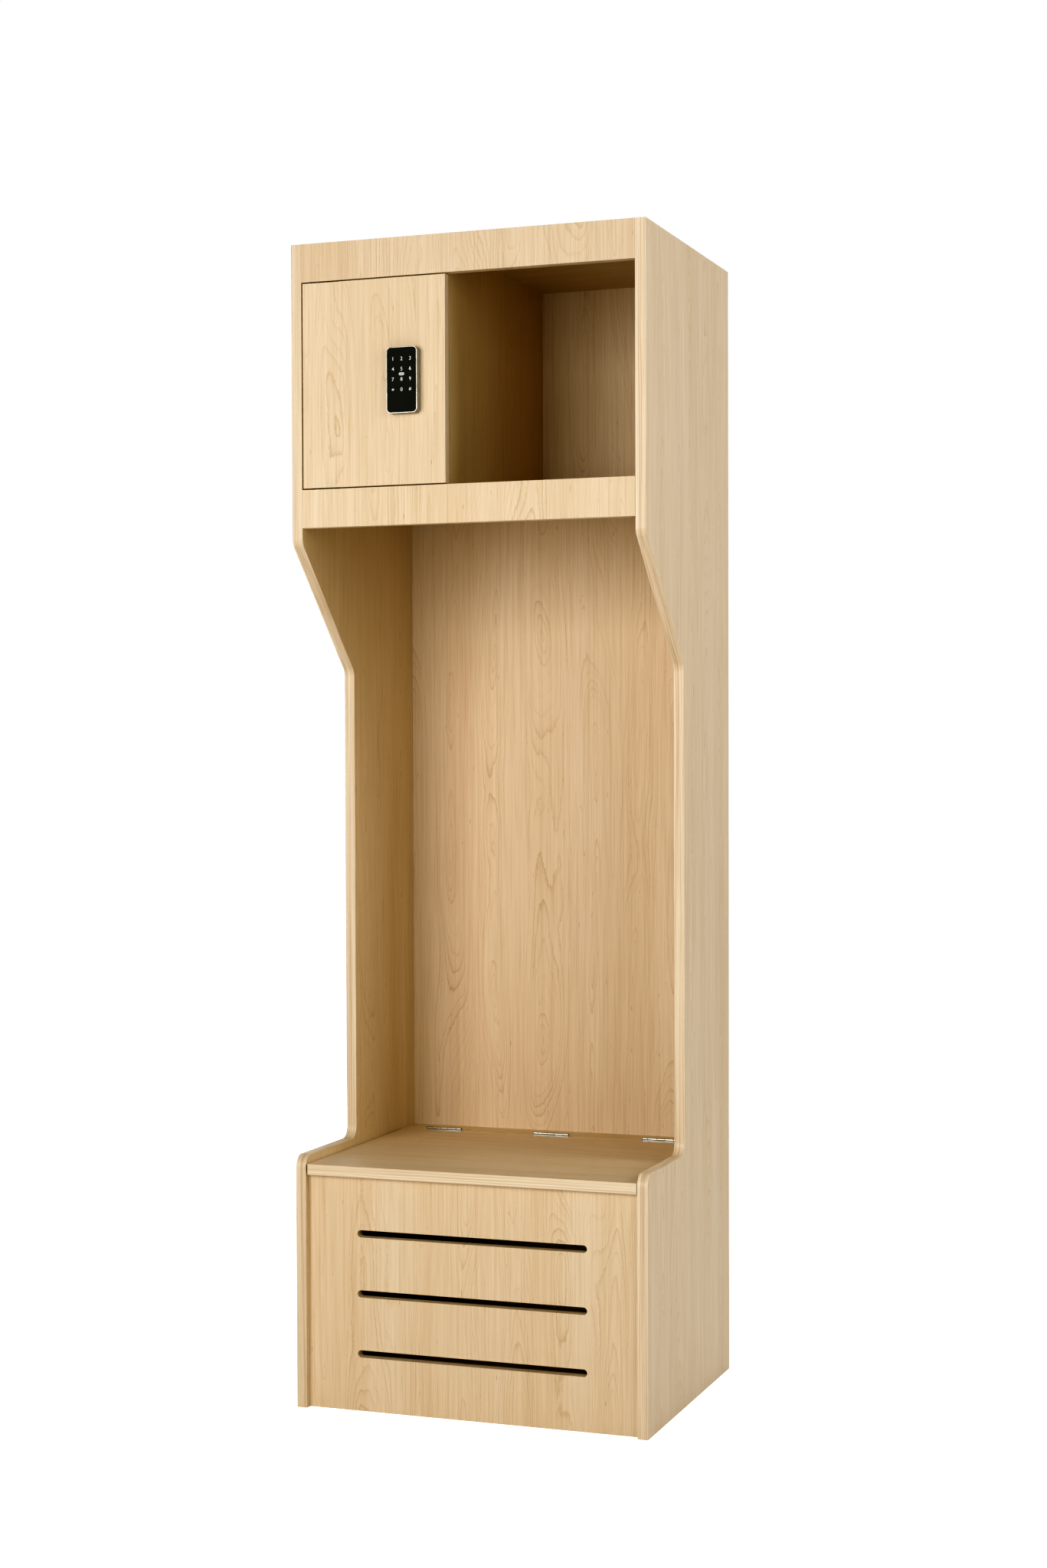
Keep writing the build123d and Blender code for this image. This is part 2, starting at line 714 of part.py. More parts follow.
def rear_housing():
    """Open tray against the door, with corner posts for the cover's screws and a window for the bolt."""
    tray = body_at(BOARD) * body_plate(0.0, BODY_DEPTH)
    tray -= body_at(BOARD + BODY_WALL) * body_plate(BODY_WALL, BODY_DEPTH)
    for place in cover_screw_places():
        tray += place * Pos(0, 0, -BODY_DEPTH) * rod(3.0, BODY_DEPTH - BODY_WALL)
        tray -= place * screw_hole(*COVER_SCREW)
    for bore in lock_screw_bores(LOCK_SCREW_RADIUS + RUNNING, BOARD - 1, 4.0):
        tray -= bore
    tray -= at(LOCK_X, BOARD, LOCK_Z + CABLE_RISE) * Box(14.0, 8.0, 5.0)
    return tray - bolt_window(0.3, (BODY_RIGHT - 3, BODY_RIGHT + 1))


def rear_cover():
    cover = body_at(BODY_BACK) * body_plate(0.0, BODY_WALL)
    for place in cover_screw_places():
        cover -= place * screw_hole(*COVER_SCREW)
    return cover


def rear_cover_screws():
    return joined([place * screw(*COVER_SCREW) for place in cover_screw_places()])


def lock_mounting_screws():
    """Pan-head machine screws from the lock body, through the door, into the frame's bosses."""
    body = rod(3.6, 2.4) - Pos(0, 0, 2.4) * Box(5.0, 1.0, 2.0)
    body += Pos(0, 0, -28.0) * rod(LOCK_SCREW_RADIUS, 28.0)
    seat = BOARD + BODY_WALL
    return joined([at(LOCK_X + x, seat, LOCK_Z + z, "+y") * body for x, z in LOCK_SCREW_SPOTS])


def lock_door_holes():
    """Bores through the door for the mounting screws and the cable."""
    cable = at(LOCK_X, -1, LOCK_Z + CABLE_RISE, "+y") * rod(7.0, BOARD + 2)
    return lock_screw_bores(LOCK_SCREW_RADIUS + 0.5, -1, BOARD + 2) + [cable]


def latch_bolt():
    """Square bolt with a rack under its tail."""
    bolt = bolt_window(0.0, (BOLT_TIP - BOLT_LENGTH, BOLT_TIP))
    bolt = chamfer(bolt.faces().sort_by(Axis.X)[-1].edges(), 0.8)
    thick = RACK_PITCH / 2 - TOOTH_BACKLASH
    lean = math.tan(math.radians(20))
    top, tip = BOLT_BOTTOM + 0.2, RACK_LINE - MODULE
    wide = thick / 2 + (top - RACK_LINE) * lean
    narrow = thick / 2 - MODULE * lean
    tooth = make_face(Polyline((-wide, top), (wide, top), (narrow, tip), (-narrow, tip), close=True))
    tooth = Pos(0, FRONT + BOLT_DEPTH + BOLT_THICK / 2, 0) * extrude(Plane.XZ * tooth, BOLT_THICK)
    for index in range(-7, 2):
        bolt += Pos(PINION_X + (index + 0.5) * RACK_PITCH, 0, 0) * tooth
    return bolt


def drive_pinion():
    """Spur pinion with its own shaft, one tooth straight up."""
    root, tip = PITCH_RADIUS - 1.25 * MODULE, PITCH_RADIUS + 0.9 * MODULE
    base, crest = 0.75 * (RACK_PITCH / 2 - TOOTH_BACKLASH), 0.28 * (RACK_PITCH / 2 - TOOTH_BACKLASH)
    foot = root - 0.5
    tooth = make_face(Polyline((-base, foot), (base, foot), (crest, tip), (-crest, tip), close=True))
    outline = Circle(root)
    for index in range(PINION_TEETH):
        outline += Rot(0, 0, index * 360 / PINION_TEETH) * tooth
    gear = extrude(outline, BOLT_THICK - 2)
    shaft = Pos(0, 0, -0.5) * rod(1.5, BOLT_THICK + 3)
    return at(PINION_X, BOLT_DEPTH + BOLT_THICK / 2 - 1, PINION_Z, "-y") * (gear + shaft)


MOTOR_DEPTH = BOARD + 7.8
MOTOR_Z = LOCK_Z - 7.7


def gearbox():
    """Reduction gearbox: a flat case in front of the pinion, and a deeper foot that takes the motor."""
    across = (PINION_X - 9, PINION_X + 9)
    box = block(across, (BOARD + BODY_WALL, BOARD + 6.5), (LOCK_Z - 12.5, LOCK_Z + 8))
    box += block(across, (BOARD + BODY_WALL, BOARD + 13), (LOCK_Z - 12.5, LOCK_Z - 3.6))
    box -= at(PINION_X, BOARD + 3.2, PINION_Z, "+y") * rod(1.5 + RUNNING, 10.0)
    return box


def lock_motor():
    """Small can motor beside the gearbox, with its end cap."""
    can = at(PINION_X - 9, MOTOR_DEPTH, MOTOR_Z, "-x") * rod(4.8, 24.0)
    return can + at(PINION_X - 33, MOTOR_DEPTH, MOTOR_Z, "-x") * rod(2.0, 1.5)


def batteries():
    """Four cells side by side, each with its raised end."""
    cells = []
    for index in range(4):
        foot = at(BODY_LEFT + 8.0 + index * 10.8, BOARD + 12, LOCK_Z - 54)
        cells.append(foot * (rod(5.2, 39.5) + rod(1.9, 40.5)))
    return joined(cells)


def control_board():
    xs, zs = (BODY_X - 27, BODY_X + 27), (LOCK_Z + 25, LOCK_Z + 57)
    board = block(xs, (BOARD + 4, BOARD + 5.6), zs)
    board += block((xs[1] - 16, xs[1] - 6), (BOARD + 5.4, BOARD + 7.4), (zs[1] - 16, zs[1] - 6))
    board += block((xs[0] + 22, xs[0] + 38), (BOARD + 5.4, BOARD + 9.4), (zs[0] + 2, zs[0] + 8))
    for bore in lock_screw_bores(4.2, BOARD, 10.0):
        board -= bore
    return board


def bolt_guide():
    """Bracket that the bolt slides through."""
    zs = (BOLT_BOTTOM - 4, BOLT_BOTTOM + BOLT_HEIGHT + 2)
    return block((-77, -66), (BOARD + BODY_WALL, BOARD + 20), zs) - bolt_window(0.2, (-78, -65))


def strike_screw_places():
    rise = BOLT_HEIGHT / 2 + 9.0
    middle = BOLT_BOTTOM + BOLT_HEIGHT / 2
    return [at(DIVIDER_LEFT - 1.5, BOLT_DEPTH, middle + sign * rise, "-x") for sign in (-1, 1)]


def strike_plate():
    """Plate on the divider with the window that the bolt enters."""
    middle = BOLT_BOTTOM + BOLT_HEIGHT / 2
    plate = at(DIVIDER_LEFT, BOLT_DEPTH, middle, "-x") * plate_z(BOLT_HEIGHT + 28, 18.0, 1.5, 3.0)
    plate -= bolt_window(0.6, (DIVIDER_LEFT - 3, DIVIDER_LEFT + 1))
    for place in strike_screw_places():
        plate -= place * screw_hole(*STRIKE_SCREW)
    return plate


def strike_screws():
    return joined([place * screw(*STRIKE_SCREW) for place in strike_screw_places()])


def strike_screw_holes():
    return [place * screw_hole(*STRIKE_SCREW) for place in strike_screw_places()]


# Assembly


def front_rail(zs, holes):
    """A rail across the front, with its long front edges eased."""
    rail = block((-INNER, INNER), (0, BOARD), zs)

    def on_long_edge(x, depth, z):
        return near(depth, 0) and near(x, 0) and not near(z, HEIGHT)

    return cut(eased(rail, SOFT_EDGE, on_long_edge), holes)


def cabinet_parts():
    joints = dowel_holes() + cam_holes() + back_screw_holes()
    across = (-INNER, INNER)
    to_back = (BOARD, BACK_FACE)
    export("left_side_panel", side_panel(-1, joints))
    export("right_side_panel", side_panel(1, joints))
    export("left_side_band", side_band(-1))
    export("right_side_band", side_band(1))
    export("top_panel", cut(block(across, to_back, (TOP_UNDER, HEIGHT)), joints))
    export("header_rail", front_rail((HEADER_BOTTOM, HEIGHT), joints + pivot_frame_holes()))
    export("apron_rail", front_rail((APRON_BOTTOM, SHELF_TOP), joints + pivot_frame_holes()))
    export("shelf_panel", cut(block(across, to_back, (SHELF_UNDER, SHELF_TOP)), joints))
    export("divider_panel", divider_panel(joints + strike_screw_holes()))
    export("divider_band", divider_band())
    export("back_panel", cut(block(across, (BACK_FACE, DEPTH), (0, HEIGHT)), joints))
    rail = block(across, (LID_DEPTH + GAP, BACK_FACE), (LID_UNDER, LID_TOP))
    rail = eased(rail, SOFT_EDGE, lambda x, depth, z: near(depth, LID_DEPTH + GAP) and near(z, LID_TOP))
    export("hinge_rail", cut(rail, joints + hinge_screw_holes(False)))
    export("vent_front", vent_front(joints))
    export("locker_floor", cut(block(across, (VENT_BACK, BACK_FACE), (FLOOR_UNDER, FLOOR_TOP)), joints))
    export("wood_dowels", wood_dowels())
    export("cam_locks", cam_locks())
    export("cam_bolts", cam_bolts())
    export("back_screws", back_screws())
    export("lid_bumpers", lid_bumpers())
    export("door_bumpers", door_bumpers())
    export("strike_plate", strike_plate())
    export("strike_screws", strike_screws())


def pivot_parts():
    for name, rail_edge, door_edge, facing in pivot_ends():
        export(f"{name}_pivot_frame_leaf", pivot_frame_leaf(rail_edge, facing))
        export(f"{name}_pivot_door_leaf", pivot_door_leaf(door_edge, facing))
    export("pivot_pins", pivot_pins())
    export("pivot_washers", pivot_washers())
    export("pivot_frame_screws", pivot_frame_screws())
    export("pivot_door_screws", pivot_door_screws())


def lid_parts():
    across = (LID_LEFT, LID_RIGHT)
    lid = block(across, (BAND, LID_DEPTH), (LID_UNDER, LID_TOP))
    export("bench_lid", cut(lid, hinge_screw_holes(True)))
    band = block(across, (0, BAND), (LID_UNDER, LID_TOP))
    band = eased(band, ARRIS, lambda x, depth, z: near(depth, 0) and near(x, sum(across) / 2))
    export("lid_band", band)
    for name, x in zip(("left", "middle", "right"), HINGE_XS):
        export(f"{name}_hinge_lid_leaf", hinge_leaf(x, True))
        export(f"{name}_hinge_rail_leaf", hinge_leaf(x, False))
    export("hinge_pins", hinge_pins())
    export("hinge_lid_screws", hinge_screws(True))
    export("hinge_rail_screws", hinge_screws(False))


def door_parts():
    holes = pivot_door_holes() + lock_door_holes()
    export("door_panel", door_panel(holes))
    export("door_band", door_band(holes))
    export("lock_frame", lock_frame())
    export("touch_panel", touch_panel())
    export("status_lens", status_lens())
    export("keypad_board", keypad_board())
    export("lock_base_plate", lock_base_plate())
    export("ribbon_cable", ribbon_cable())
    export("rear_housing", rear_housing())
    export("rear_cover", rear_cover())
    export("rear_cover_screws", rear_cover_screws())
    export("lock_mounting_screws", lock_mounting_screws())
    export("latch_bolt", latch_bolt())
    export("drive_pinion", drive_pinion())
    export("gearbox", gearbox())
    export("lock_motor", lock_motor())
    export("batteries", batteries())
    export("control_board", control_board())
    export("bolt_guide", bolt_guide())


os.makedirs("parts", exist_ok=True)
cabinet_parts()
pivot_parts()
lid_parts()
door_parts()
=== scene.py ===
"""Looks of the open-front locker with a keypad box: maple laminate, edge bands, metal and the keypad."""
import math

import bmesh
import bpy
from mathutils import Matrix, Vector


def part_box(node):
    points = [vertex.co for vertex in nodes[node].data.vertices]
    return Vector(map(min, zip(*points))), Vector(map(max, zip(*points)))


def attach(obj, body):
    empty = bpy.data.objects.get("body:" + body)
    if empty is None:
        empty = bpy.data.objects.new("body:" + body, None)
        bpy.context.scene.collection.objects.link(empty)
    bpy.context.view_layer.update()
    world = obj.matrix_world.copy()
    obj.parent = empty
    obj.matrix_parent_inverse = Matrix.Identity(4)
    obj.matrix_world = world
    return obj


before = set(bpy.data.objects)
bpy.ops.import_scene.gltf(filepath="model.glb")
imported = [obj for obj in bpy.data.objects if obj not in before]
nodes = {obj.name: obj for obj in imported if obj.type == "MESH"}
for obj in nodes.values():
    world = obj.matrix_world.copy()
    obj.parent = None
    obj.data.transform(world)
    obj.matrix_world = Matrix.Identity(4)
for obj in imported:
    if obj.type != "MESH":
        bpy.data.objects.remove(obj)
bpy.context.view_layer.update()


# ---------------------------------------------------------------- node helpers


# Where most of a noise's values lie
MIDDLE = (0.3, 0.7)


class Tree:
    """Adds nodes to a node tree and joins them up. A value may be a number, a colour or a socket."""

    def __init__(self, tree):
        self.tree = tree

    def add(self, kind, inputs=None, **settings):
        node = self.tree.nodes.new(kind)
        for name, value in settings.items():
            setattr(node, name, value)
        for key, value in (inputs or {}).items():
            self.put(node.inputs[key], value)
        return node

    def put(self, socket, value):
        if isinstance(value, bpy.types.NodeSocket):
            self.tree.links.new(value, socket)
        else:
            socket.default_value = value

    def math(self, operation, *values):
        return self.add("ShaderNodeMath", dict(enumerate(values)), operation=operation).outputs[0]

    def mix(self, factor, a, b, blend="MIX"):
        sockets = {0: factor, 6: a, 7: b}
        return self.add("ShaderNodeMix", sockets, data_type="RGBA", blend_type=blend).outputs[2]

    def scaled(self, vector, x, y, z):
        return self.add("ShaderNodeVectorMath", {0: vector, 1: (x, y, z)}, operation="MULTIPLY").outputs[0]

    def noise(self, vector, scale, detail=3.0, roughness=0.6, distortion=0.0, w=None):
        """Noise in three dimensions, or in four where w, the seed, is given."""
        inputs = {"Vector": vector, "Scale": scale, "Detail": detail, "Roughness": roughness,
                  "Distortion": distortion}
        if w is None:
            return self.add("ShaderNodeTexNoise", inputs).outputs["Fac"]
        return self.add("ShaderNodeTexNoise", {**inputs, "W": w}, noise_dimensions="4D").outputs["Fac"]

    def stretched(self, vector, frequencies, detail=2.0, roughness=0.6, distortion=0.0, w=None):
        """Noise with its own frequency, per metre, along each of the three axes."""
        return self.noise(self.scaled(vector, *frequencies), 1.0, detail, roughness, distortion, w)

    def span(self, value, low, high, to_low=0.0, to_high=1.0):
        inputs = dict(enumerate((value, low, high, to_low, to_high)))
        return self.add("ShaderNodeMapRange", inputs, clamp=True).outputs[0]


def linear(value):
    """Linear light for a display value, both from 0 to 1."""
    return value / 12.92 if value <= 0.04045 else ((value + 0.055) / 1.055) ** 2.4


def srgb(r, g, b):
    """A linear colour from 0 to 255 display values."""
    return (linear(r / 255), linear(g / 255), linear(b / 255), 1.0)


def dimmed(color, factor):
    return (*(factor * c for c in color[:3]), 1.0)


def new_material(name):
    material = bpy.data.materials.new(name)
    material.use_nodes = True
    material.node_tree.nodes.clear()
    t = Tree(material.node_tree)
    shader = t.add("ShaderNodeBsdfPrincipled")
    t.add("ShaderNodeOutputMaterial", {"Surface": shader.outputs[0]})
    return material, t, shader


def object_coordinates(t):
    return t.add("ShaderNodeTexCoord").outputs["Object"]


def finish_surface(t, shader, color, roughness, height=None, strength=None, distance=None):
    """Colour, roughness and, where there is a height, its bump: how strong, and how high in metres."""
    t.put(shader.inputs["Base Color"], color)
    t.put(shader.inputs["Roughness"], roughness)
    if height is not None:
        bump = t.add("ShaderNodeBump", {"Height": height, "Strength": strength, "Distance": distance})
        t.put(shader.inputs["Normal"], bump.outputs[0])


# ---------------------------------------------------------------- wood


# The noise fields of the maple print: frequencies across, through and along the grain, detail, roughness,
# distortion, and what is added to the board's seed
PRINT_NOISE = {
    "wander": ((5.5, 1.0, 0.9), 2.0, 0.5, 0.0, 0.0),
    "sway": ((6.0, 1.0, 1.5), 1.5, 0.5, 0.0, 5.3),
    "ripple": ((75.0, 10.0, 24.0), 4.0, 0.72, 0.0, 11.7),
    "patches": ((16.0, 3.0, 3.5), 3.0, 0.6, 0.0, 3.7),
    "streaks": ((250.0, 20.0, 3.2), 3.0, 0.85, 0.0, 0.0),
    "fibres": ((800.0, 60.0, 7.0), 2.0, 0.6, 0.0, 0.0),
    "tone": ((15.0, 3.0, 0.7), 5.0, 0.7, 0.2, 9.1),
    "flecks": ((420.0, 60.0, 48.0), 0.0, 0.5, 0.0, 5.3),
    "pink": ((3.0, 2.0, 1.2), 1.0, 0.5, 0.0, 14.0),
}
# Growth rings, in metres: the width of a column of print, how far its heart line wanders across and through the
# board, how far the seed shifts it, the distance between rings and how much they ripple
COLUMN = 0.085
HEART_WANDER = 0.13
HEART_DEPTH = 0.24
SEED_SHIFT = 0.0371
RING = 0.0036
RIPPLE = 0.0046
# A ring's line: how sharply it darkens towards its edge, the fade just behind the edge and the shade between
LINE_SHARPNESS = 9.0
LINE_FADE = (0.0, 0.10, 0.8, 0.0)
RING_SHADE = 0.16
# The faintest ring's weight, and the power that makes strong rings rarer than faint ones
FAINTEST = 0.12
RARITY = 1.6
PATCH_SPAN = (0.36, 0.62, 0.25, 1.0)
FLECK_SPAN = (0.83, 0.90)


def grain_group():
    """Maple print. The input vector is in metres: across the grain, through the board and along the grain."""
    group = bpy.data.node_groups.new("maple_print", "ShaderNodeTree")
    group.interface.new_socket("Vector", in_out="INPUT", socket_type="NodeSocketVector")
    group.interface.new_socket("Seed", in_out="INPUT", socket_type="NodeSocketFloat")
    for name in ("Rings", "Streaks", "Fibres", "Tone", "Flecks", "Pink"):
        group.interface.new_socket(name, in_out="OUTPUT", socket_type="NodeSocketFloat")
    t = Tree(group)
    vector, seed = t.add("NodeGroupInput").outputs[:2]
    field = {}
    for name, (frequencies, detail, roughness, distortion, offset) in PRINT_NOISE.items():
        own_seed = t.math("ADD", seed, offset)
        field[name] = t.stretched(vector, frequencies, detail, roughness, distortion, own_seed)

    # Growth rings cut lengthwise: each column of print has its own heart line, and the heart lies a little
    # above or below the face, so the rings close into tall arches over it and run straight beside it
    across = t.add("ShaderNodeSeparateXYZ", {"Vector": vector}).outputs[0]
    shift = t.math("MULTIPLY_ADD", field["wander"], HEART_WANDER, t.math("MULTIPLY", seed, SEED_SHIFT))
    column = t.math("FRACT", t.math("DIVIDE", t.math("ADD", across, shift), COLUMN))
    beside = t.math("MULTIPLY", t.math("SUBTRACT", column, 0.5), COLUMN)
    depth = t.math("MULTIPLY", t.math("SUBTRACT", field["sway"], 0.5), HEART_DEPTH)
    reach = t.math("SQRT", t.math("ADD", t.math("POWER", beside, 2.0), t.math("POWER", depth, 2.0)))
    count = t.math("DIVIDE", t.math("MULTIPLY_ADD", field["ripple"], RIPPLE, reach), RING)
    ring = t.math("FRACT", count)
    edge = t.math("MAXIMUM", t.math("POWER", ring, LINE_SHARPNESS), t.span(ring, *LINE_FADE))
    line = t.math("ADD", edge, t.math("MULTIPLY", ring, RING_SHADE))
    draw = t.add("ShaderNodeTexWhiteNoise", {"W": t.math("ADD", t.math("FLOOR", count), seed)},
                 noise_dimensions="1D").outputs["Value"]
    weight = t.math("MULTIPLY_ADD", t.math("POWER", draw, RARITY), 1 - FAINTEST, FAINTEST)
    rings = t.math("MULTIPLY", t.math("MULTIPLY", line, weight), t.span(field["patches"], *PATCH_SPAN))

    t.add("NodeGroupOutput", {
        "Rings": rings,
        "Streaks": field["streaks"],
        "Fibres": field["fibres"],
        "Tone": field["tone"],
        "Flecks": t.span(field["flecks"], *FLECK_SPAN),
        "Pink": field["pink"],
    })
    return group


MAPLE_PRINT = grain_group()

# Which object axes run across the grain, through the board and along the grain
ALONG_Z_ACROSS_X = ("x", "y", "z")
ALONG_Z_ACROSS_Y = ("y", "x", "z")
ALONG_X_ACROSS_Y = ("y", "z", "x")
ALONG_X_ACROSS_Z = ("z", "y", "x")


def grain_vector(t, order):
    parts = t.add("ShaderNodeSeparateXYZ", {"Vector": object_coordinates(t)})
    pick = dict(zip("xyz", parts.outputs))
    return t.add("ShaderNodeCombineXYZ", {i: pick[axis] for i, axis in enumerate(order)}).outputs[0]


LIGHT = srgb(232, 215, 192)
MID = srgb(222, 200, 171)
LINE = srgb(192, 160, 120)
RING_LINE = srgb(184, 151, 110)
DARK = srgb(140, 104, 70)
ROSE = srgb(226, 197, 170)
GROUND_SPAN = (*MIDDLE, 0.05, 0.95)
# What is mixed over the two ground colours: the field, the part of it that shows and how strongly, the colour
LAYERS = (
    ("Pink", (0.4, 0.75, 0.0, 0.18), ROSE),
    ("Streaks", (0.49, 0.70, 0.0, 0.34), LINE),
    ("Fibres", (0.42, 0.68, 0.0, 0.24), LINE),
)
FLECK_STRENGTH = 0.6
WOOD_GLOSS = 0.3
WOOD_ROUGHNESS = (0.2, 0.8, 0.42, 0.52)
RING_RELIEF = 0.5


def maple(name, order, seed, tint_and_painted_shade=(1.0, 1.0, 1.0), ring_strength=0.66):
    material, t, shader = new_material(name)
    grain = t.add("ShaderNodeGroup", node_tree=MAPLE_PRINT)
    t.put(grain.inputs["Vector"], grain_vector(t, order))
    t.put(grain.inputs["Seed"], seed)
    field = grain.outputs
    color = t.mix(t.span(field["Tone"], *GROUND_SPAN), LIGHT, MID)
    for layer, span, layer_color in LAYERS:
        color = t.mix(t.span(field[layer], *span), color, layer_color)
    color = t.mix(t.math("MULTIPLY", field["Rings"], ring_strength), color, RING_LINE)
    color = t.mix(t.math("MULTIPLY", field["Flecks"], FLECK_STRENGTH), color, DARK)
    # The tint multiplies the print: the board's own colour, and on boards that sit in the shade also painted
    # shade
    color = t.mix(1.0, color, (*tint_and_painted_shade, 1.0), "MULTIPLY")
    roughness = t.span(field["Fibres"], *WOOD_ROUGHNESS)
    height = t.math("ADD", field["Fibres"], t.math("MULTIPLY", field["Rings"], RING_RELIEF))
    finish_surface(t, shader, color, roughness, height, strength=0.08, distance=0.0003)
    shader.inputs["Specular IOR Level"].default_value = WOOD_GLOSS
    return material


TAPE_LIGHT = srgb(236, 220, 196)
TAPE_MID = srgb(226, 206, 180)
TAPE_LINE = srgb(196, 168, 138)
TAPE_FIBRE = srgb(186, 158, 128)
TAPE_WANDER = 0.008
TAPE_GLOSS = 0.4
TAPE_ROUGHNESS = (0.2, 0.8, 0.38, 0.48)


def edge_tape(name, order, seed, tint_and_painted_shade):
    """Edging: a few fine dark lines that run the length of the edge, which wander a little."""
    material, t, shader = new_material(name)
    vector = grain_vector(t, order)
    bend = t.stretched(vector, (20.0, 2.0, 2.0), roughness=0.5, w=seed)
    parts = t.add("ShaderNodeSeparateXYZ", {"Vector": vector}).outputs
    shift = t.math("MULTIPLY", t.math("SUBTRACT", bend, 0.5), TAPE_WANDER)
    moved = {0: t.math("ADD", parts[0], shift), 1: parts[1], 2: parts[2]}
    moved = t.add("ShaderNodeCombineXYZ", moved).outputs[0]
    streaks = t.stretched(moved, (520.0, 10.0, 2.2), roughness=0.7, w=seed)
    fibres = t.stretched(moved, (1100.0, 20.0, 14.0), w=seed)
    tone = t.stretched(vector, (60.0, 5.0, 1.2), detail=1.0, roughness=0.5, w=seed + 4.0)
    color = t.mix(t.span(tone, 0.35, 0.7), TAPE_LIGHT, TAPE_MID)
    color = t.mix(t.span(streaks, 0.45, 0.66, 0.0, 0.66), color, TAPE_LINE)
    color = t.mix(t.span(fibres, 0.35, 0.8, 0.0, 0.25), color, TAPE_FIBRE)
    # The tint multiplies the edging: its own colour, and on the divider's edging also painted shade
    color = t.mix(1.0, color, (*tint_and_painted_shade, 1.0), "MULTIPLY")
    roughness = t.span(fibres, *TAPE_ROUGHNESS)
    finish_surface(t, shader, color, roughness, streaks, strength=0.08, distance=0.0002)
    shader.inputs["Specular IOR Level"].default_value = TAPE_GLOSS
    return material


# ---------------------------------------------------------------- metal, plastic and the rest


# Frequencies of brushed lines along and across them, per metre
BRUSH_ALONG, BRUSH_ACROSS = 40.0, 2600.0


def brushed(name, color, roughness, along="z", streak=0.12):
    """Metal with fine lines along one object axis, slightly uneven in tone and gloss."""
    material, t, shader = new_material(name)
    coords = object_coordinates(t)
    frequencies = [BRUSH_ALONG if axis == along else BRUSH_ACROSS for axis in "xyz"]
    lines = t.stretched(coords, frequencies)
    smudge = t.noise(coords, 60.0)
    tone = t.mix(t.span(smudge, *MIDDLE), color, dimmed(color, 0.82))
    tone = t.mix(t.span(lines, 0.3, 0.8, 0.0, streak * 2), tone, dimmed(color, 0.6))
    line_rough = t.span(lines, 0.2, 0.8, -streak, streak)
    smudge_rough = t.span(smudge, *MIDDLE, roughness * 0.85, roughness * 1.2)
    rough = t.math("ADD", line_rough, smudge_rough)
    finish_surface(t, shader, tone, rough, lines, strength=0.05, distance=0.0001)
    shader.inputs["Metallic"].default_value = 1.0
    return material


def moulded(name, color, roughness=0.5, grain=900.0, bump=0.15, variation=0.12, coat=0.0):
    """Moulded plastic or rubber with a fine texture, slight shade changes and faint handling marks."""
    material, t, shader = new_material(name)
    coords = object_coordinates(t)
    texture = t.noise(coords, grain)
    cloud = t.noise(coords, 45.0)
    lighter = (*(min(1.0, c * (1 + 2 * variation) + 0.004) for c in color[:3]), 1.0)
    tone = t.mix(t.span(cloud, *MIDDLE), color, lighter)
    cloud_rough = t.span(cloud, *MIDDLE, roughness * 0.9, roughness * 1.1)
    texture_rough = t.span(texture, *MIDDLE, -0.03, 0.03)
    rough = t.math("ADD", cloud_rough, texture_rough)
    finish_surface(t, shader, tone, rough, texture, strength=bump, distance=0.0002)
    if coat:
        shader.inputs["Coat Weight"].default_value = coat
        shader.inputs["Coat Roughness"].default_value = 0.05
    return material


def touch_glass():
    """Black glass: nearly even, with specks of dust, and faint smears that mostly its gloss shows."""
    material, t, shader = new_material("touch_glass")
    coords = object_coordinates(t)
    smear = t.stretched(coords, (60.0, 60.0, 25.0), detail=4.0, distortion=0.4)
    dust = t.noise(coords, 2500.0, detail=1.0, roughness=0.5)
    color = t.mix(t.span(smear, 0.35, 0.7), srgb(20, 20, 29), srgb(27, 27, 37))
    color = t.mix(t.span(dust, 0.74, 0.82, 0.0, 0.25), color, srgb(70, 70, 72))
    finish_surface(t, shader, color, t.span(smear, *MIDDLE, 0.22, 0.34))
    shader.inputs["Specular IOR Level"].default_value = 0.06
    return material


def circuit():
    """Green board with rows of lighter tracks."""
    material, t, shader = new_material("circuit_board")
    coords = object_coordinates(t)
    tracks = t.add("ShaderNodeTexBrick", {
        "Vector": coords,
        "Scale": 260.0,
        "Mortar Size": 0.05,
        "Color1": srgb(22, 92, 52),
        "Color2": srgb(28, 110, 60),
        "Mortar": srgb(70, 140, 84),
    })
    cloud = t.noise(coords, 90.0)
    color = t.mix(t.span(cloud, *MIDDLE, 0.0, 0.3), tracks.outputs[0], srgb(12, 60, 34))
    roughness = t.span(cloud, *MIDDLE, 0.3, 0.45)
    finish_surface(t, shader, color, roughness, cloud, strength=0.05, distance=0.0002)
    return material


# Heights of a cell's copper-coloured band above the cell's foot, and of its bare end below its top, in metres
WRAP_BAND = (0.030, 0.0304)
WRAP_END = (0.0016, 0.0012)


def cell_wrap():
    """Battery wrap: a copper-coloured band above a dark sleeve, and a bare metal end."""
    material, t, shader = new_material("cell_wrap")
    coords = object_coordinates(t)
    low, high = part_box("batteries")
    up = t.add("ShaderNodeSeparateXYZ", {"Vector": coords}).outputs[2]
    band = t.span(up, *(low.z + height for height in WRAP_BAND))
    end = t.span(up, *(high.z - height for height in WRAP_END))
    cloud = t.noise(coords, 120.0)
    sleeve = t.mix(t.span(cloud, *MIDDLE), srgb(26, 26, 28), srgb(38, 38, 41))
    color = t.mix(end, t.mix(band, sleeve, srgb(186, 120, 60)), srgb(190, 190, 188))
    roughness = t.span(cloud, *MIDDLE, 0.25, 0.36)
    finish_surface(t, shader, color, roughness, cloud, strength=0.04, distance=0.0002)
    return material
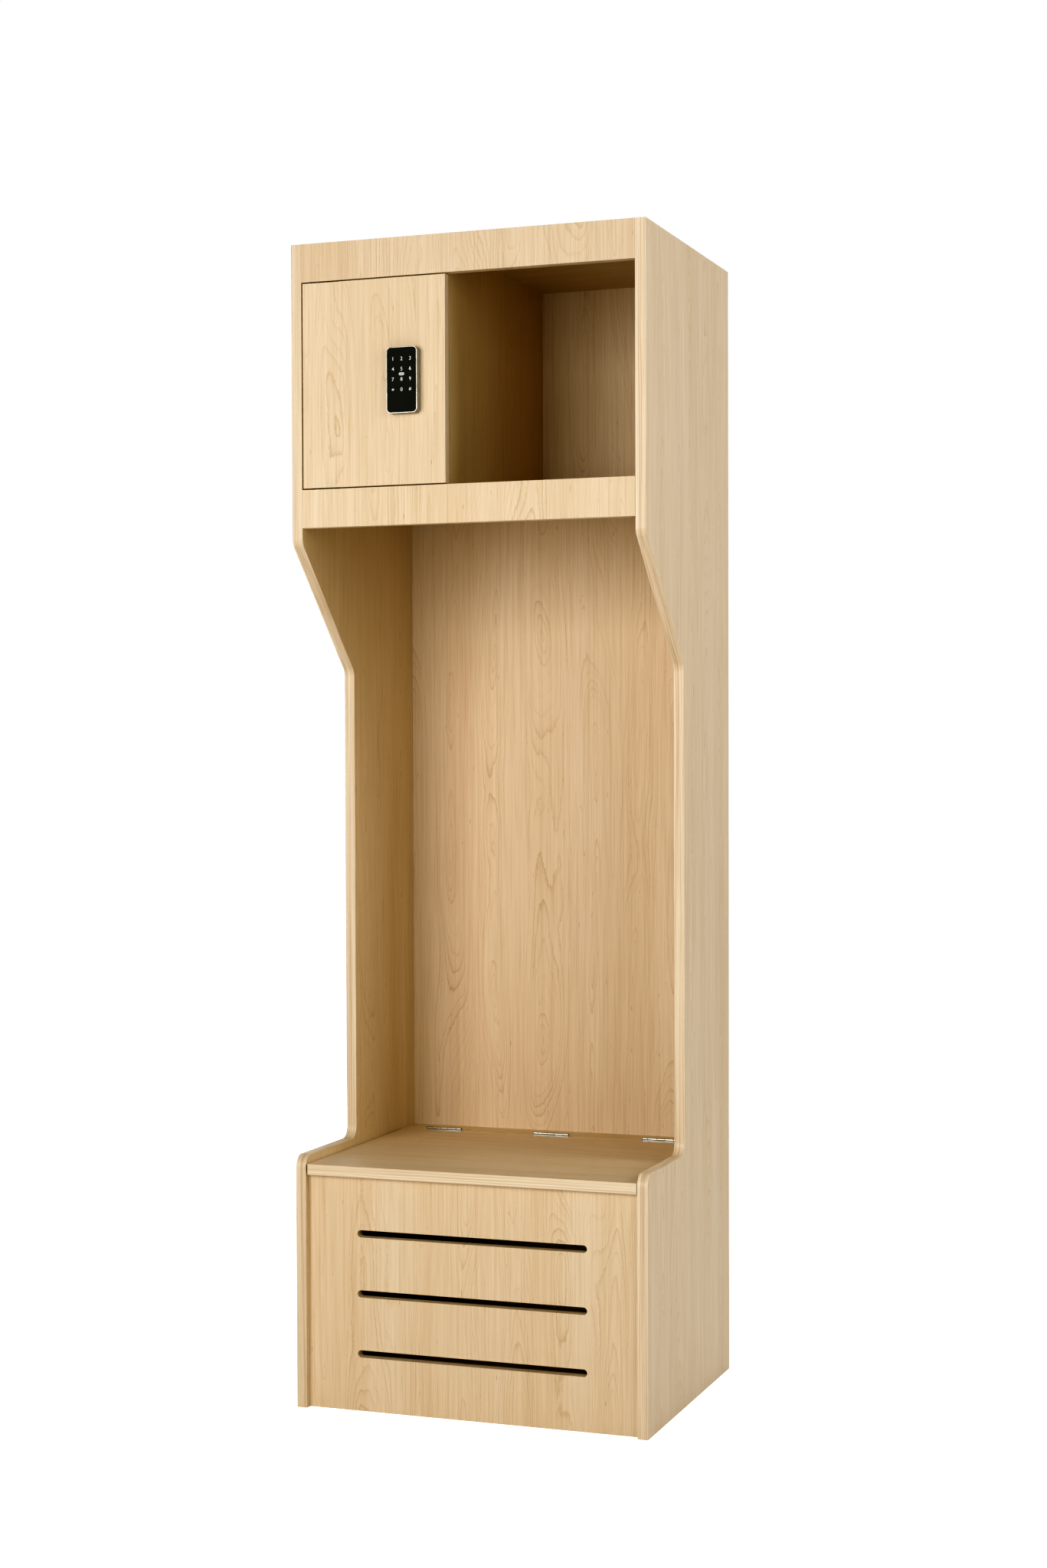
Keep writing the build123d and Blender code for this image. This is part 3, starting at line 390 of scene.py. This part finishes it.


# ---------------------------------------------------------------- what each CAD node is made of


# Node: (how its grain runs, seed, tint, which on some boards is painted shade)
BOARDS = {
    # painted shade: the whole left side is darker and warmer, for the shade on its inner face in the bay
    "left_side_panel": (ALONG_Z_ACROSS_Y, 1.3, (0.90, 0.87, 0.76)),
    "right_side_panel": (ALONG_Z_ACROSS_Y, 7.9, (0.96, 0.97, 0.99)),
    # painted shade: the top is darker and warmer, for the shade on its underside over the cubby
    "top_panel": (ALONG_X_ACROSS_Y, 2.2, (0.82, 0.76, 0.62)),
    "header_rail": (ALONG_Z_ACROSS_X, 4.1, (0.97, 0.96, 0.97)),
    "apron_rail": (ALONG_Z_ACROSS_X, 5.6, (1.0, 1.0, 1.0)),
    # painted shade: the shelf is darker and warmer, for the shade in the cubby and under the shelf
    "shelf_panel": (ALONG_X_ACROSS_Y, 6.4, (0.73, 0.65, 0.43)),
    # painted shade: the divider is darker and warmer, for the shade inside the cubby
    "divider_panel": (ALONG_Z_ACROSS_Y, 8.8, (0.84, 0.77, 0.58)),
    "back_panel": (ALONG_Z_ACROSS_X, 9.5, (0.99, 0.98, 0.99)),
    "hinge_rail": (ALONG_X_ACROSS_Y, 10.7, (0.97, 0.96, 0.88)),
    "vent_front": (ALONG_Z_ACROSS_X, 11.2, (1.0, 1.0, 1.0)),
    "locker_floor": (ALONG_X_ACROSS_Y, 12.6, (1.0, 1.0, 1.0)),
    "bench_lid": (ALONG_X_ACROSS_Y, 13.9, (1.0, 1.0, 0.98)),
    "door_panel": (ALONG_Z_ACROSS_X, 15.1, (1.0, 1.0, 1.0)),
}
TAPES = {
    "left_side_band": (ALONG_Z_ACROSS_X, 1.0, (0.94, 0.93, 0.92)),
    "right_side_band": (ALONG_Z_ACROSS_X, 2.0, (0.98, 0.97, 0.97)),
    # painted shade: the divider's edging is darker and warmer, for the shade in the gap beside the door
    "divider_band": (ALONG_Z_ACROSS_X, 3.0, (0.79, 0.67, 0.51)),
    "lid_band": (ALONG_X_ACROSS_Z, 4.0, (1.0, 1.0, 1.0)),
    "door_band": (ALONG_Z_ACROSS_Y, 5.0, (1.0, 1.0, 1.0)),
}


def clothe():
    """Every carried-over CAD node gets its material."""
    hinge = brushed("hinge_steel", srgb(186, 184, 180), 0.24, "x")
    pivot = brushed("pivot_steel", srgb(96, 95, 92), 0.42, "x")
    screw = brushed("screw_steel", srgb(190, 188, 180), 0.36, "y")
    lock_black = moulded("lock_body_black", srgb(30, 30, 32), 0.55)
    bumper = moulded("clear_bumper", srgb(206, 203, 194), 0.35, grain=500.0, bump=0.05, variation=0.06, coat=0.3)
    lens = moulded("milky_lens", srgb(168, 168, 172), 0.34, grain=300.0, bump=0.02, variation=0.04)
    board = circuit()
    smooth = {"grain": 700.0, "bump": 0.08}
    made = {
        "wood_dowels": maple("beech_dowel", ALONG_X_ACROSS_Z, 21.0, (0.9, 0.82, 0.76), ring_strength=0.25),
        "cam_locks": brushed("cast_zinc", srgb(160, 161, 163), 0.48, streak=0.05),
        "lid_bumpers": bumper,
        "door_bumpers": bumper,
        "pivot_washers": moulded("black_nylon", srgb(28, 28, 29), 0.5, variation=0.06, **smooth),
        "bolt_guide": moulded("natural_nylon", srgb(226, 223, 212), 0.45, variation=0.04, **smooth),
        "strike_plate": pivot,
        "pivot_pins": pivot,
        "hinge_pins": pivot,
        "lock_frame": brushed("satin_lock_metal", srgb(178, 174, 168), 0.42, streak=0.05),
        "touch_panel": touch_glass(),
        "status_lens": lens,
        "keypad_board": board,
        "control_board": board,
        "lock_base_plate": moulded("black_gasket", srgb(22, 22, 22), 0.7, grain=1200.0, bump=0.2),
        "ribbon_cable": moulded("grey_cable", srgb(158, 158, 160), 0.4, grain=600.0, bump=0.1),
        "rear_housing": lock_black,
        "rear_cover": lock_black,
        "latch_bolt": brushed("bolt_steel", srgb(186, 185, 182), 0.3, "x"),
        "drive_pinion": brushed("gear_brass", srgb(206, 170, 100), 0.3, "y"),
        "gearbox": moulded("white_acetal", srgb(222, 221, 214), 0.42, variation=0.04, **smooth),
        "lock_motor": brushed("motor_can", srgb(184, 184, 182), 0.3, "x"),
        "batteries": cell_wrap(),
    }
    for name, (order, seed, tint_and_painted_shade) in BOARDS.items():
        made[name] = maple(name, order, seed, tint_and_painted_shade)
    for name, (order, seed, tint_and_painted_shade) in TAPES.items():
        made[name] = edge_tape(name, order, seed, tint_and_painted_shade)
    for name, node in nodes.items():
        if name in made:
            material = made[name]
        elif "hinge" in name and "screws" not in name:
            material = hinge
        elif "pivot" in name and "leaf" in name:
            material = pivot
        else:
            material = screw
        node.data.materials.clear()
        node.data.materials.append(material)


clothe()


# ---------------------------------------------------------------- keypad legends


KEY_ROWS = ("123", "456", "789", "*0#")
# In metres; TOP_ROW is the top row's height above the panel's middle
KEY_PITCH = 0.015
ROW_PITCH = 0.0166
TOP_ROW = 0.0342
DIGIT_SIZE = 0.0084
SIGN_SIZE = 0.0076
STAR_REACH, STAR_HALF_WIDTH = 0.0024, 0.00030
STROKE_GROWTH = 0.00004
PRINT_THICKNESS = 0.00002
PRINT_PROUD = 0.00003


def unit(degrees):
    return Vector((math.cos(math.radians(degrees)), math.sin(math.radians(degrees))))


def star_outline(reach, half):
    """Corners of a six-armed star with square-ended arms, each as long as reach and twice half wide."""
    points = []
    for turn in range(90, 450, 60):
        along, beside = unit(turn), unit(turn + 90)
        points.append(2 * half * unit(turn - 30))
        points.append(reach * along - half * beside)
        points.append(reach * along + half * beside)
    return points


def sign_curve(name, text, size):
    """A digit or hash from the built-in font, or the star as its own outline."""
    if text == "*":
        curve = bpy.data.curves.new(name, "CURVE")
        curve.dimensions = "2D"
        curve.fill_mode = "BOTH"
        corners = star_outline(STAR_REACH, STAR_HALF_WIDTH)
        line = curve.splines.new("POLY")
        line.points.add(len(corners) - 1)
        for point, corner in zip(line.points, corners):
            point.co = (corner.x, corner.y, 0, 1)
        line.use_cyclic_u = True
    else:
        curve = bpy.data.curves.new(name, "FONT")
        curve.body = text
        curve.size = size
        curve.offset = STROKE_GROWTH
    curve.extrude = PRINT_THICKNESS
    return curve


def legend(name, text, size, place):
    """One printed sign on the touch panel, as a thin raised outline facing the user, centred on its place."""
    sign = bpy.data.objects.new(name, sign_curve(name, text, size))
    bpy.context.scene.collection.objects.link(sign)
    bpy.context.view_layer.update()
    mesh = bpy.data.meshes.new_from_object(sign.evaluated_get(bpy.context.evaluated_depsgraph_get()))
    bpy.data.objects.remove(sign)
    xs = [v.co.x for v in mesh.vertices]
    ys = [v.co.y for v in mesh.vertices]
    middle = Vector(((min(xs) + max(xs)) / 2, (min(ys) + max(ys)) / 2, 0))
    for v in mesh.vertices:
        flat = v.co - middle
        v.co = Vector((place[0] + flat.x, place[1] - flat.z, place[2] + flat.y))
    return mesh


def keypad_legends():
    glass_low, glass_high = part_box("touch_panel")
    centre = (glass_low + glass_high) / 2
    face = glass_low.y - PRINT_PROUD
    joined = bmesh.new()
    for r, row in enumerate(KEY_ROWS):
        for c, sign in enumerate(row):
            size = DIGIT_SIZE if sign.isdigit() else SIGN_SIZE
            place = (centre.x + (c - 1) * KEY_PITCH, face, centre.z + TOP_ROW - r * ROW_PITCH)
            joined.from_mesh(legend(f"legend_{r}_{c}", sign, size, place))
    mesh = bpy.data.meshes.new("keypad_digits")
    joined.normal_update()
    joined.to_mesh(mesh)
    joined.free()
    piece = bpy.data.objects.new("keypad_digits", mesh)
    bpy.context.scene.collection.objects.link(piece)
    print_white = moulded("legend_print", srgb(228, 229, 230), 0.5, grain=1500.0, bump=0.05, variation=0.03)
    mesh.materials.append(print_white)
    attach(piece, "door")


keypad_legends()


# ---------------------------------------------------------------- floor, light and camera


FLOOR_HALF = 12.0
FLOOR_DROP = 0.0005
FLOOR_GLOW = 0.93


def floor():
    """A pale floor just below the feet, which the camera sees nearly white."""
    mesh = bpy.data.meshes.new("floor")
    corners = [(x * FLOOR_HALF, y * FLOOR_HALF, -FLOOR_DROP) for x, y in ((-1, -1), (1, -1), (1, 1), (-1, 1))]
    mesh.from_pydata(corners, [], [(0, 1, 2, 3)])
    piece = bpy.data.objects.new("floor", mesh)
    bpy.context.scene.collection.objects.link(piece)
    material, t, shader = new_material("pale_floor")
    cloud = t.noise(object_coordinates(t), 1.5, roughness=0.5)
    color = t.mix(t.span(cloud, *MIDDLE), srgb(232, 232, 232), srgb(228, 228, 228))
    finish_surface(t, shader, color, 0.75)
    shader.inputs["Specular IOR Level"].default_value = 0.1
    shader.inputs["Emission Color"].default_value = (1.0, 1.0, 1.0, 1.0)
    seen = t.add("ShaderNodeLightPath").outputs["Is Camera Ray"]
    t.put(shader.inputs["Emission Strength"], t.math("MULTIPLY", seen, FLOOR_GLOW))
    mesh.materials.append(material)


# The surroundings' brightness: as light on the object, as its gloss reflects them, and as the camera sees them
AMBIENT = 0.14
REFLECTED = 0.55
BACKDROP = 1.0
AIM = Vector((0.0, 0.0, 1.15))
# Name: (azimuth to the right of the front, elevation, distance, width and height, power, colour)
LIGHTS = {
    "key": (-13.0, 8.0, 4.0, (2.4, 1.9), 108.0, (1.0, 0.99, 0.98)),
    "front_right": (50.0, 13.0, 4.0, (1.8, 1.8), 27.0, (1.0, 1.0, 1.0)),
    "side": (88.0, 14.0, 4.0, (1.8, 2.2), 80.0, (0.96, 1.0, 1.07)),
    "left": (-134.0, -6.0, 4.0, (2.0, 1.1), 100.0, (0.98, 1.0, 1.04)),
    "behind": (178.0, 56.0, 4.2, (2.4, 2.0), 84.0, (0.98, 1.0, 1.04)),
}


def area_light(name, location, size, power, color):
    data = bpy.data.lights.new(name, "AREA")
    data.shape = "RECTANGLE"
    data.size, data.size_y = size
    data.energy = power
    data.color = color
    light = bpy.data.objects.new(name, data)
    light.location = location
    light.rotation_euler = (AIM - location).to_track_quat("-Z", "Y").to_euler()
    bpy.context.scene.collection.objects.link(light)


def lighting():
    world = bpy.data.worlds.new("studio")
    bpy.context.scene.world = world
    world.use_nodes = True
    t = Tree(world.node_tree)
    color, strength = world.node_tree.nodes["Background"].inputs[:2]
    color.default_value = (1.0, 1.0, 1.0, 1.0)
    path = t.add("ShaderNodeLightPath").outputs
    seen = t.math("MULTIPLY_ADD", path["Is Camera Ray"], BACKDROP - AMBIENT, AMBIENT)
    t.put(strength, t.math("MULTIPLY_ADD", path["Is Glossy Ray"], REFLECTED - AMBIENT, seen))
    for name, (turn, rise, far, size, power, light_color) in LIGHTS.items():
        turn, rise = math.radians(turn), math.radians(rise)
        way = Vector((math.cos(rise) * math.sin(turn), -math.cos(rise) * math.cos(turn), math.sin(rise)))
        area_light(name, AIM + far * way, size, power, light_color)


# The tone curves, display value against scene value. The depths for red, green and blue darken the shade, and
# TONE_REACH limits that to the shade. Below TOE_REACH up to TOE more is taken off, most of it at black
TONE_DEPTHS = (0.78, 0.78, 0.96)
TONE_REACH = 1.5
TOE, TOE_REACH = 0.05, 0.33
TONE_POINTS = (0.0, 0.1, 0.18, 0.26, 0.34, 0.44, 0.55, 0.66, 0.78, 0.89, 1.0)


def toned(value, depth):
    value *= 1 - depth * (1 - value) ** TONE_REACH
    return max(0.0, value - TOE * max(0.0, 1 - value / TOE_REACH))


def tone():
    """Standard view with deeper, warmer shade. The curves act on linear light, so their points do too."""
    view = bpy.context.scene.view_settings
    view.view_transform = "Standard"
    view.look = "None"
    view.use_curve_mapping = True
    for curve, depth in zip(view.curve_mapping.curves, TONE_DEPTHS):
        first, *between, last = [(linear(v), linear(toned(v, depth))) for v in TONE_POINTS]
        curve.points[0].location = first
        curve.points[1].location = last
        for point in between:
            curve.points.new(*point)
    view.curve_mapping.update()


# The camera: sensor and lens in millimetres, then metres and radians
SENSOR = 36.0
LENS = 58.435
LENS_SHIFT = (0.03376, 0.01651)
EYE = (1.45872, -4.09295, 1.09778)
EYE_TURN = (1.546716, 0.003770, 0.360194)
SIGHT = 60.0


def camera():
    data = bpy.data.cameras.new("camera")
    data.sensor_fit = "AUTO"
    data.sensor_width = SENSOR
    data.lens = LENS
    data.shift_x, data.shift_y = LENS_SHIFT
    data.clip_end = SIGHT
    eye = bpy.data.objects.new("camera", data)
    eye.location = EYE
    eye.rotation_euler = EYE_TURN
    bpy.context.scene.collection.objects.link(eye)
    bpy.context.scene.camera = eye


floor()
lighting()
camera()
tone()
